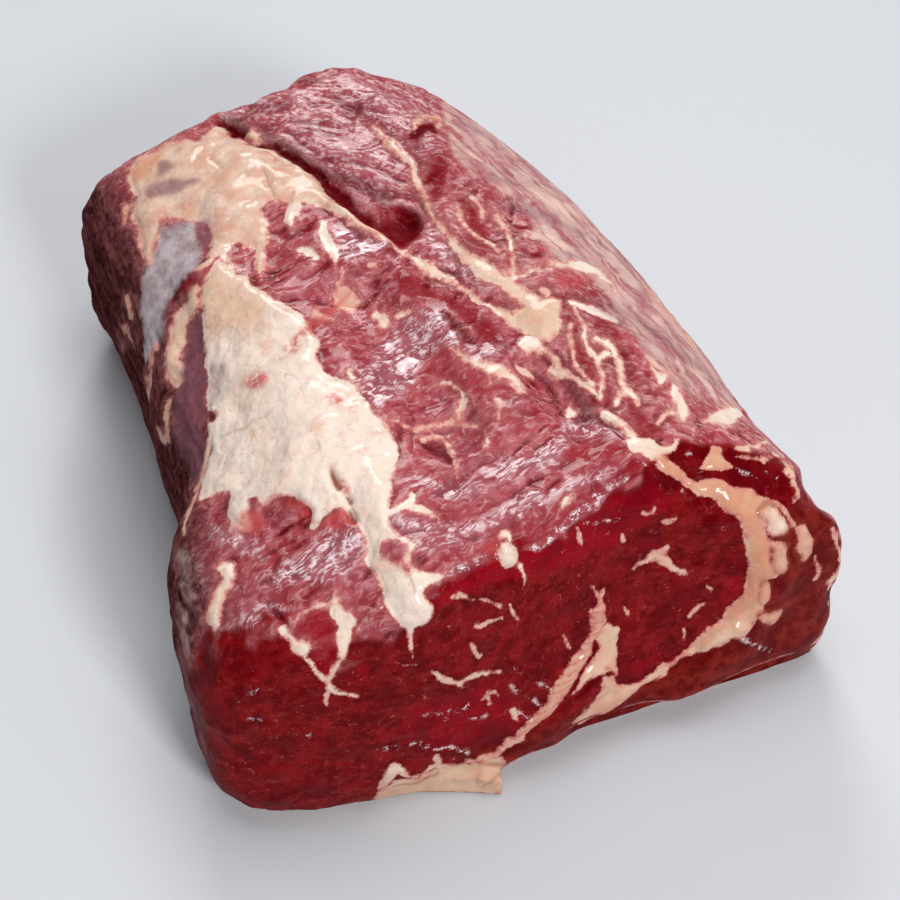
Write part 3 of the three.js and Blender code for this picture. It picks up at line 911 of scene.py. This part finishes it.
softness = BORDER + LEFT_BORDER * ramp(x, *LEFT_END)
face_depth = inside(FACE_TOP) + softness * BORDER_WANDER * cloud(places / 5, 130, 2)
face = ramp(face_depth / softness, -1, 1) * ramp(0.4 * seen - outward[:, 1], 0.1, 0.5)
rope = stroke(ROPE)
rope_turns = np.sin((spots[:, 0] * TWIST_LEAN + spots[:, 1]) * TWIST)
cap_muscle = inside(CAP_MUSCLE)
add_fat(inside(HOOK), warmth=0.85, thickness=0.7, slope=7, rose=0.45)
marks["fat_warmth"] -= 0.3 * ramp(inside(HOOK_FOOT), -6, 10)
add_fat(shapes([HOOK_START, INNER_RIM]), warmth=0.3, thickness=0.5, slope=6, rose=0.15)
add_fat(inside(THICK_LOBE), warmth=0.5, thickness=1.4, slope=8)
add_fat(inside(CAP_WEDGE), warmth=0.9, thickness=0.3, slope=4, rose=0.4)
add_fat(shapes(CAP_LINES_FAT), warmth=0.45, thickness=0.4, slope=4, rose=0.2)
add_fat(inside(WEDGE), warmth=0.6, thickness=0.5, slope=6, rose=0.4)
add_fat(union(rope, shapes(ROPE_TIP)), warmth=0.5, thickness=1.2, slope=7, rose=0.7)
add_fat(stroke(PALE_LINE), warmth=0.15, thickness=0.8, slope=4, rose=0.5)
add_fat(union(inside(STRIP, straight_spots), stroke(WHITE_KNOB)), warmth=0.6, thickness=0.0, slope=5)
add_fat(shapes(FACE_LINES), warmth=0.35, thickness=0.0, slope=3, rose=0.35)
add_fat(shapes(Y_FAT + [SEVEN]), warmth=0.15, thickness=0.5, slope=5)
cut_window(inside(Y_RED) - 1, deep=0.2)
for name, outline in LUMPS.items():
    lump = inside(outline)
    warmth, rose = (0.2, 0.0) if name == "top" else (0.5, 0.7)
    add_fat(lump, warmth, thickness=1.2, slope=7, rose=rose)
    ring = np.minimum(lump + 3, 0.5 - lump) + 5 * cloud(places / 5, 150, 2)
    mark("seam", ring, LINE, strength=0.55)
add_fat(shapes(RIM), warmth=0.5, thickness=0.6, slope=6, rose=0.4)
marks["rose"] += 0.7 * ramp(inside(HOOK_BEND), -4, 8)
mark("shade_and_dark_meat", shapes(ROPE_SHADE), LINE, strength=0.8)
mark("seam", shapes(STRIP_LINES), LINE, strength=0.6)
mark("crimson", inside(Y_RED))
mark("crimson", stroke(CRIMSON_BAND), 10)
mark("crimson", stroke(EDGE_FLUSH), 12, strength=0.75)
mark("crimson", shapes(CRIMSON_LOW), 8, strength=0.7)
mark("stain", np.minimum(rope + 1, rope_turns * 6 - 3), 2, strength=0.55)
mark("shade_and_dark_meat", cap_muscle, strength=0.5)
raise_meat(rope, TWIST_HEIGHT * rope_turns, 0, 5)
raise_meat(cap_muscle, -CAP_MUSCLE_DEPTH, -3, 6)
for path, deep in DENTS.values():
    raise_meat(stroke(path, straight_spots, everywhere), -deep, -20, 4)

# ---- Sides out of the first view ----
# The right side is covered by the same membrane, the far end is a second cut through the same muscles, and
# the back fat wraps the underside. Strokes on the far end are in millimetres across and up.
END_FAT = [
    [(10, 30, 1), (30, 12, 2), (70, 8, 2), (110, 12, 3), (138, 34, 3), (132, 60, 2), (112, 76, 2)],
    [(112, 76, 2), (96, 62, 1.4), (84, 44, 1.2), (72, 30, 0.8)],
    [(112, 76, 2), (118, 84, 1.6)],
    [(40, 60, 0.6), (52, 52, 1.2), (60, 56, 0.6)],
    [(30, 36, 0.6), (44, 32, 1.0), (50, 36, 0.4)],
]
END_SCALE = 3  # view units to a millimetre, so that these strokes match the strokes of the view
END_TORN = 3
BACK_FAT = 5  # how high the back fat comes up the sides, and how much its border wavers

far_end = ramp(outward[:, 1], 0.45, 0.75)
right_side = ramp(outward[:, 0], 0.3, 0.7) * (1 - far_end)
under = ramp(-outward[:, 2], 0.3, 0.8)
add_film(2 * right_side * ramp(seen, 0.7, 0.1) - 1, warmth=0.8, strength=0.8, soft=1)
end_spots = (np.stack([x, z], axis=1) + wander * END_TORN) * END_SCALE
end_fat = union(*[stroke(np.array(path) * END_SCALE, end_spots, far_end) for path in END_FAT])
add_fat(end_fat, warmth=0.6, thickness=0.3, slope=5)
back_fat = (BACK_FAT + BACK_FAT * cloud(places / 18, 300) - z) * END_SCALE
back_fat = np.where(right_side + far_end + under > 0.4, back_fat, -REACH)
back_fat = np.clip(back_fat - (1 - under) * seen * REACH, -REACH, REACH)
add_fat(back_fat, warmth=0.75, thickness=0.0, slope=4)

# ---- Folds ----
# Muscle lies in bundles of fibres that bulge between soft creases, across the loin and slanting on the rib
# fingers, and least under fat and skins. Fat is rumpled, and the cut face waves a little where the knife
# was drawn through it.
LOIN_ANGLE = 16  # degrees from the roast's width to the wrinkles of the loin
SLANT_ANGLE = 141  # the same at the far end and on the rib fingers
WALL_ANGLE = 92
SWELL = (34, 13)  # length and width of the swells between creases, in millimetres
SMALL_SWELL = (17, 6)
CREASE = (26, 9)
CREPE = (13, 3.2)
CREASE_WIDTH = 0.12
WAVER = ((24, 5, 16), (7, 9, 3))  # how far apart, from which seed and how far fibres waver
FAR_START = 160  # bundles slant behind this line, and on the fingers, right of a line that leans across it
FAR_FULL = 190
FINGER_EDGE = (88, 104)
FINGER_LEAN = 0.42
WALL_FULL = 50
FOLD_HEIGHT = 1.6
RUMPLE_HEIGHT = 1.8
RUMPLE_STREAKS = (18, 4)
FACE_WAVES = 1.4
FACE_GRAIN = 0.3
SWAY = 1.0
HOLLOWEST = -4.5
HIGHEST = 4


def drawn(direction, size, seed):
    """Noise drawn out along a direction of the plan, in wavering streaks of a length and width."""
    turn = math.radians(direction)
    length, width = size
    bend = sum(cloud(places / apart, seed + step) * far for apart, step, far in WAVER)
    forward = x * math.cos(turn) + y * math.sin(turn)
    sideways = y * math.cos(turn) - x * math.sin(turn) + bend
    return noise(np.stack([forward / length, sideways / width, z / width], axis=1), seed)


def folds(direction, seed):
    """Soft swells, a few creases between them and fine crepe on top, in millimetres of height."""
    swell = drawn(direction, SWELL, seed) + 0.5 * drawn(direction, SMALL_SWELL, seed + 20) - 0.75
    few = ramp(noise(places / 17, seed + 30), 0.45, 0.7)
    crease = (1 - ramp(np.abs(drawn(direction, CREASE, seed + 50) - 0.5), 0, CREASE_WIDTH)) * few
    crepe = 0.5 - np.abs(2 * drawn(direction, CREPE, seed + 40) - 1)
    return 1.5 * swell - 0.5 * crease + 0.55 * crepe


cut = np.maximum(face, far_end)
fat_cover = ramp(marks["fat"], -3, 4)
fingers = ramp(x + FINGER_LEAN * (y - FAR_START), *FINGER_EDGE)
slanting = np.maximum(fingers, ramp(y, FAR_START, FAR_FULL))
wall = ramp(-outward[:, 0], 0.35, 0.75) * (1 - face) * ramp(y, 0, WALL_FULL)
top_folds = folds(LOIN_ANGLE, 1) * (1 - slanting) + folds(SLANT_ANGLE, 2) * slanting
skin_folds = top_folds * (1 - wall) + folds(WALL_ANGLE, 4) * wall
bare = (1 - 0.8 * fat_cover) * (1 - 0.6 * marks["film"]) * (1 - 0.85 * cut) * (1 - under)
height += FOLD_HEIGHT * bare * skin_folds * (1 - 0.6 * ramp(smooth_red, -4, 6))
rumple = RUMPLE_HEIGHT * cloud(places / 12, 60)
rumple += 0.5 * (drawn(LOIN_ANGLE + 14, RUMPLE_STREAKS, 64) - 0.5)
height += fat_cover * (1 - 0.6 * cut) * rumple
height += cut * (FACE_WAVES * cloud(places / 13, 80) + FACE_GRAIN * cloud(places / 2.6, 85, 2))
height += SWAY * cloud(places / 34, 90, 2) * (1 - under)
standing = ramp(z, 0.5, 5)
height = smoothed(np.clip(height, HOLLOWEST, HIGHEST) * standing, 2)
places = places + outward * height[:, None]
places[:, 2] = np.maximum(places[:, 2], 0)
put_places()
even_height = smoothed(height, 18)
# painted shade in the hollows of the relief
hollows = smoothed(even_height, 42) - height
marks["shade_and_dark_meat"] = np.maximum(marks["shade_and_dark_meat"], ramp(hollows, 1.0, 2.8) * 0.8)
for name in ("fat_warmth", "film_warmth", "rose"):
    marks[name] = smoothed(marks[name], 6)
marks |= {
    "crest": np.clip((height - even_height) * 1.3 + 0.5, 0, 1),
    "cut": cut,
    "wall": wall,
    "slanting": slanting,
    "lower": ramp(inside(LOWER_MEAT), -4, 8) * ramp(-outward[:, 1], 0.35, 0.75),
    "glints": ramp(union(edge_glints, shapes(FACE_GLINTS) - 0.8), -2, 2),
}
for name, values in marks.items():
    layer = flesh.attributes.new(name, "FLOAT", "POINT")
    layer.data.foreach_set("value", values.astype(np.float32))
flesh.polygons.foreach_set("use_smooth", np.ones(len(flesh.polygons), bool))

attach(roast, "root")
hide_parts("roast")

# ---- Finish of the meat ----
# Moist muscle is a deep red that lets light in, with painted highlights on the crests of its wrinkles and
# painted shade in its creases. Fat is cream with a waxy gloss, silverskin grey and wet, and the knife-cut
# face darkest and wettest.


class Wire:
    """A value in a material's nodes. Arithmetic on it adds Math nodes."""

    def __init__(self, finish, socket):
        self.finish = finish
        self.socket = socket

    def math(self, operation, *values):
        sockets = dict(enumerate(values))
        return self.finish.node("ShaderNodeMath", {"operation": operation}, sockets)

    def __add__(self, other):
        return self.math("ADD", self, other)

    def __sub__(self, other):
        return self.math("SUBTRACT", self, other)

    def __rsub__(self, other):
        return self.math("SUBTRACT", other, self)

    def __mul__(self, other):
        return self.math("MULTIPLY", self, other)

    def absolute(self):
        return self.math("ABSOLUTE", self)

    __radd__ = __add__
    __rmul__ = __mul__


class Finish:
    """A material and the few ways in which its nodes are added."""

    def __init__(self, name):
        self.material = bpy.data.materials.new(name)
        self.material.use_nodes = True
        self.tree = self.material.node_tree
        self.tree.nodes.clear()

    def node(self, kind, settings=(), sockets=(), output=0):
        """Any node: its type, its settings, and the values or wires of its sockets."""
        node = self.tree.nodes.new(kind)
        for name, value in dict(settings).items():
            setattr(node, name, value)
        for name, value in dict(sockets).items():
            if isinstance(value, Wire):
                self.tree.links.new(value.socket, node.inputs[name])
            else:
                node.inputs[name].default_value = value
        return Wire(self, node.outputs[output]) if node.outputs else None

    def painted(self, name):
        """What the mesh carries at each point under this name."""
        return self.node("ShaderNodeAttribute", {"attribute_name": name}, output="Fac")

    def rise(self, value, low, high):
        """0 at low, 1 at high, and a smooth rise between them."""
        sockets = {"Value": value, "From Min": low, "From Max": high}
        return self.node("ShaderNodeMapRange", {"interpolation_type": "SMOOTHSTEP"}, sockets)

    def blend(self, share, first, second):
        """Two colours mixed, with a share of the second; the node has them on its sockets 6 and 7."""
        sockets = {0: share, 6: first, 7: second}
        return self.node("ShaderNodeMix", {"data_type": "RGBA"}, sockets, output=2)

    def speckle(self, where, size, detail=3.0, roughness=0.55, distortion=0.0):
        """Noise around 0.5 with lumps of this size."""
        sockets = {"Vector": where, "Scale": 1 / size, "Detail": detail, "Roughness": roughness}
        return self.node("ShaderNodeTexNoise", {}, sockets | {"Distortion": distortion})


def paint(red, green, blue):
    """A colour given as 0 to 255 on a screen, in linear light."""
    shares = [part / 255 for part in (red, green, blue)]
    return (*[part / 12.92 if part < 0.04 else ((part + 0.055) / 1.055) ** 2.4 for part in shares], 1)


meat = Finish("meat")
object_place = meat.node("ShaderNodeTexCoord", output="Object")
place = meat.node("ShaderNodeVectorMath", {"operation": "SCALE"}, {0: object_place, "Scale": MM})

DRIFT = 7  # millimetres by which fibres drift from straight lines
DRIFT_SIZE = 9
LENGTHWISE = 103  # degrees from the roast's width to the streaks of its skins and of its left wall
drift_sockets = {"Vector": place, "Scale": 1 / DRIFT_SIZE, "Detail": 2.0}
drift = meat.node("ShaderNodeTexNoise", {}, drift_sockets, output=1)
drift_steps = {0: drift, 1: (DRIFT, DRIFT, DRIFT), 2: place}
drifting_place = meat.node("ShaderNodeVectorMath", {"operation": "MULTIPLY_ADD"}, drift_steps)


def drawn_out(direction, length, width=1):
    """The place, turned to a direction of the plan and squeezed so that noise on it becomes fibres."""
    turn = {"Vector": drifting_place, "Angle": -math.radians(direction)}
    turned = meat.node("ShaderNodeVectorRotate", {"rotation_type": "Z_AXIS"}, turn)
    squeeze = (1 / length, 1 / width, 1 / width)
    return meat.node("ShaderNodeVectorMath", {"operation": "MULTIPLY"}, {0: turned, 1: squeeze})


def bundles(where, fineness):
    """Bundles of fibres, fineness of them to a millimetre: their tones and how far their edges are."""
    sockets = {"Vector": where, "Scale": fineness}
    tone = meat.node("ShaderNodeTexVoronoi", {}, sockets, output=1)
    return tone, meat.node("ShaderNodeTexVoronoi", {"feature": "DISTANCE_TO_EDGE"}, sockets)


def layered(colour, *layers):
    """A colour with others laid over it in turn, each by its share."""
    for share, over in layers:
        colour = meat.blend(share, colour, over if isinstance(over, Wire) else paint(*over))
    return colour


fat_depth = meat.painted("fat")
cut_share = meat.painted("cut")
crest_share = meat.painted("crest")
slant_share = meat.painted("slanting")
shade_and_dark_share = meat.painted("shade_and_dark_meat")
wall_share = meat.painted("wall")
crimson_share = meat.painted("crimson")
sheen_share = meat.painted("sheen")
film_share = meat.painted("film")

patches = meat.speckle(place, 14, 2.0)
blotches = meat.speckle(place, 6, 2.0)
mottling = meat.speckle(place, 2.4)
grain = meat.speckle(place, 0.6, 2.0, 0.5)
blotchy = blotches - 0.5  # the same around 0, which makes a border ragged
mottled = mottling - 0.5
grainy = grain - 0.5
across = meat.speckle(drawn_out(LOIN_ANGLE, 11, 1.2), 1, 1.0, 0.4, 0.2)
slanted = meat.speckle(drawn_out(SLANT_ANGLE, 11, 1.2), 1, 1.0, 0.4, 0.2)
wrinkle = 1 - 2.6 * (across * (1 - slant_share) + slanted * slant_share - 0.5).absolute()
along_fibres = meat.speckle(drawn_out(LENGTHWISE, 28, 5), 1, 2.5, 0.6, 0.6)
slanted_fibres = meat.speckle(drawn_out(SLANT_ANGLE, 16, 1.7), 1, 3.0, 0.6, 0.3)
crumple = 1 - 3 * (meat.speckle(drifting_place, 9, 1.6, 0.45, 0.3) - 0.5).absolute()
bundle_tone, bundle_edge = bundles(drawn_out(LOIN_ANGLE, 1.6), 0.2)
face_tone, face_edge = bundles(drifting_place, 0.42)
bare_top = (1 - cut_share) * (1 - wall_share)

bundle_skins = meat.rise(bundle_edge, 0.05, 0.01) * meat.rise(mottling, 0.44, 0.6)
pale_fibres = meat.rise(slanted_fibres + mottled * 0.4, 0.52, 0.7) * slant_share
dashes = meat.rise(mottling + (crest_share - 0.5) * 0.4, 0.4, 0.62)
painted_glint_lines = meat.rise(wrinkle, 0.66, 0.95) * dashes
fresh_meat = layered(
    paint(136, 42, 50),
    (meat.rise(mottling, 0.3, 0.7), (150, 56, 62)),
    (meat.rise(bundle_tone, 0.2, 0.8) * 0.45, (176, 88, 92)),
    (meat.rise(blotches, 0.45, 0.7) * 0.4, (176, 98, 102)),
    (meat.rise(crest_share, 0.5, 0.1), (98, 6, 16)),  # painted shade in creases
    (meat.rise(crest_share, 0.6, 1.0) * 0.45, (194, 134, 138)),  # painted highlights on crests
    (meat.rise(patches, 0.4, 0.65) * 0.3, (156, 82, 92)),
    (bundle_skins * 0.32, (212, 160, 154)),
    (pale_fibres * 0.6, (212, 166, 160)),
    # painted sheen
    (sheen_share * 0.4, (168, 108, 116)),
    # painted shade between the wrinkles
    (meat.rise(wrinkle, 0.6, 0.2) * (0.3 + 0.3 * sheen_share), (112, 24, 36)),
    # painted glints along the wrinkles
    (painted_glint_lines * (0.12 + 0.72 * sheen_share), (228, 208, 212)),
)
# the left wall's own streaky purple-brown, painted darker as shade on the side turned away from the light
wall_streaks = meat.rise(along_fibres + mottled * 0.8, 0.25, 0.8)
shaded_wall_meat = meat.blend(wall_streaks, paint(56, 20, 24), paint(116, 64, 64))

wet_crimson = meat.rise(crimson_share + blotchy * 0.7, 0.15, 0.95)
darkest = meat.rise(face_edge, 0.1, 0.0) * meat.rise(patches, 0.6, 0.4)
marbling = meat.rise(blotchy.absolute(), 0.007, 0.0) * meat.rise(mottling, 0.56, 0.64)
low_tone = meat.rise(blotches + mottled * 0.4, 0.35, 0.7)
low_meat = meat.blend(low_tone, paint(86, 6, 4), paint(120, 30, 24))
cut_meat = layered(
    paint(88, 0, 4),
    (meat.rise(blotches, 0.35, 0.65), (118, 10, 14)),
    (meat.rise(face_tone, 0.3, 0.9) * 0.3, (146, 34, 38)),
    (meat.rise(mottling, 0.5, 0.75) * 0.25, (150, 46, 50)),
    (wet_crimson * 0.85, (136, 4, 22)),
    (meat.rise(patches, 0.45, 0.65) * 0.5, (76, 0, 8)),
    (darkest * 0.3, (70, 0, 6)),
    (meat.rise(grain, 0.55, 0.85) * 0.14, (168, 66, 62)),
    (marbling * 0.4, (206, 134, 124)),
    (meat.painted("lower"), low_meat),
)

grey_skin = meat.blend(meat.rise(blotches, 0.35, 0.65), paint(152, 136, 138), paint(184, 172, 174))
pink_skin = meat.blend(meat.rise(along_fibres, 0.35, 0.65), paint(164, 100, 104), paint(218, 184, 168))
skin = meat.blend(meat.painted("film_warmth"), grey_skin, pink_skin)
streaky_film = film_share + mottled * 0.5 + (along_fibres - 0.5) * 1.2
skin_share = film_share * meat.rise(streaky_film, 0.3, 0.9)
cut_cover = meat.rise(cut_share + blotchy * 0.6 + mottled * 0.3, 0.08, 0.95)
crumbs = meat.rise(grain + meat.painted("flecks") * 0.14 + blotchy * 0.2, 0.73, 0.79)
halo = meat.rise(fat_depth + mottled * 9 + blotchy * 9, -8, 3) * (1 - cut_share)
lean = layered(
    fresh_meat,
    (wall_share, shaded_wall_meat),
    (cut_cover, cut_meat),
    (crimson_share * (1 - cut_share) * 0.75, (138, 14, 28)),
    (crumbs * (0.7 - 0.5 * cut_cover), (220, 186, 176)),
    (halo * (0.22 + 0.25 * slant_share), (196, 132, 126)),
    # painted shade, and meat darker than usual
    (shade_and_dark_share * 0.9, (84, 0, 6)),
    (skin_share * 0.92, skin),
)

warmth = meat.painted("fat_warmth") + (patches - 0.5) * 0.5
rosy = meat.rise(meat.painted("rose") + blotchy * 1.2, 0.1, 0.9)
white_specks = meat.rise(mottling, 0.55, 0.75) * (0.35 - 0.25 * cut_share)
hairlines = meat.rise(crumple, 0.95, 1.0) * meat.rise(mottling, 0.45, 0.65)
thick_fat = layered(
    paint(222, 204, 190),
    (meat.rise(warmth, 0.0, 0.5), (206, 172, 148)),  # cream
    (meat.rise(warmth, 0.5, 1.0), (198, 138, 106)),  # tan
    (rosy * 0.7, (188, 124, 104)),
    (meat.rise(blotches, 0.5, 0.75) * 0.4, (204, 150, 126)),
    (white_specks, (228, 214, 202)),
    (meat.rise(crumple, 0.6, 0.1) * 0.3, (206, 170, 146)),
    (hairlines * 0.5, (196, 124, 108)),
)
tinted_fat = meat.blend(meat.rise(mottling, 0.35, 0.65), paint(182, 104, 98), paint(206, 152, 138))
ragged_depth = fat_depth + mottled * 5 + grainy * 2 + blotchy * 5
fat_share = meat.rise(ragged_depth, -1.4, 0.8)
thick_share = meat.rise(ragged_depth, 0.0, 1.6 + 3.5 * meat.rise(patches, 0.42, 0.6))
glint_dashes = meat.painted("glints") * meat.rise(mottling + grain * 0.5, 0.78, 0.86)
colour = layered(
    lean,
    (fat_share, meat.blend(thick_share, tinted_fat, thick_fat)),
    (meat.painted("stain") * meat.rise(mottling, 0.3, 0.55), (180, 66, 64)),
    (meat.painted("bruise"), (116, 76, 88)),
    (meat.painted("seam") * 0.9, (128, 50, 30)),
    (glint_dashes * 0.8, (244, 226, 230)),
)

lean_gloss = bare_top * (0.26 + 0.5 * sheen_share) * (1 - 0.3 * slant_share) + cut_share * 0.16
gloss = lean_gloss * (1 - shade_and_dark_share) * (1 - thick_share) + 0.34 * thick_share
lean_height = (wrinkle - 0.7) * bare_top * (0.4 + 0.5 * sheen_share) + blotchy * 1.3
fat_height = blotchy * 1.5 - (crumple - 0.6) * 0.6
fine_height = mottled * 0.3 + grainy * 0.12
bump_height = lean_height * (1 - thick_share) + fat_height * thick_share + fine_height
bump = meat.node("ShaderNodeBump", {}, {"Height": bump_height, "Distance": 0.0008, "Strength": 0.9})
surface = meat.node(
    "ShaderNodeBsdfPrincipled",
    {"subsurface_method": "RANDOM_WALK"},
    {
        "Base Color": colour,
        "Roughness": 0.5 + mottled * 0.3,
        "Normal": bump,
        "IOR": 1.38,
        "Specular IOR Level": 0.0,
        "Subsurface Weight": 0.12,
        "Subsurface Radius": (1.0, 0.35, 0.25),
        "Subsurface Scale": 0.002,
        "Coat Weight": gloss,
        "Coat Roughness": 0.1,
        "Coat IOR": 1.45,
    },
)
meat.node("ShaderNodeOutputMaterial", {}, {"Surface": surface})
flesh.materials.clear()
flesh.materials.append(meat.material)

# ---- Table and light ----
# A plain pale table under soft studio light: a broad window behind the roast, a weak lamp overhead and a
# small fill in front, in a room that is dim and slightly blue.
TABLE_HALF = 1.6
LIGHT_AIM = Vector((0, 0, 0.04))
table_mesh = bpy.data.meshes.new("table")
table_corners = [(i * TABLE_HALF, j * TABLE_HALF, 0) for i, j in ((-1, -1), (1, -1), (1, 1), (-1, 1))]
table_mesh.from_pydata(table_corners, [], [(0, 1, 2, 3)])
table = bpy.data.objects.new("table", table_mesh)
bpy.context.collection.objects.link(table)
top_paint = Finish("table_paint")
top_sockets = {"Base Color": paint(192, 194, 198), "Roughness": 0.8}
table_surface = top_paint.node("ShaderNodeBsdfPrincipled", {}, top_sockets)
top_paint.node("ShaderNodeOutputMaterial", {}, {"Surface": table_surface})
table_mesh.materials.append(top_paint.material)

LAMPS = {  # place, size, power in watts
    "window": ((0.45, 1.9, 1.25), 0.8, 28),
    "ceiling": ((0.1, 0.1, 1.5), 1.0, 13),
    "front": ((0.2, -1.1, 0.8), 0.25, 12),
}
for name, (spot, size, power) in LAMPS.items():
    lamp = bpy.data.objects.new(name, bpy.data.lights.new(name, "AREA"))
    bpy.context.collection.objects.link(lamp)
    lamp.data.size = size
    lamp.data.energy = power
    lamp.location = spot
    lamp.rotation_mode = "QUATERNION"
    lamp.rotation_quaternion = (LIGHT_AIM - Vector(spot)).to_track_quat("-Z", "Y")

world = bpy.data.worlds.new("room")
bpy.context.scene.world = world
world.use_nodes = True
room = world.node_tree.nodes["Background"]
room.inputs["Color"].default_value = (0.9, 0.93, 1, 1)
room.inputs["Strength"].default_value = 0.22
bpy.context.scene.view_settings.view_transform = "Standard"

# ---- Size ----
# The dressed roast stays in the imported part's box, apart from the small relief of its folds.
bpy.context.view_layer.update()
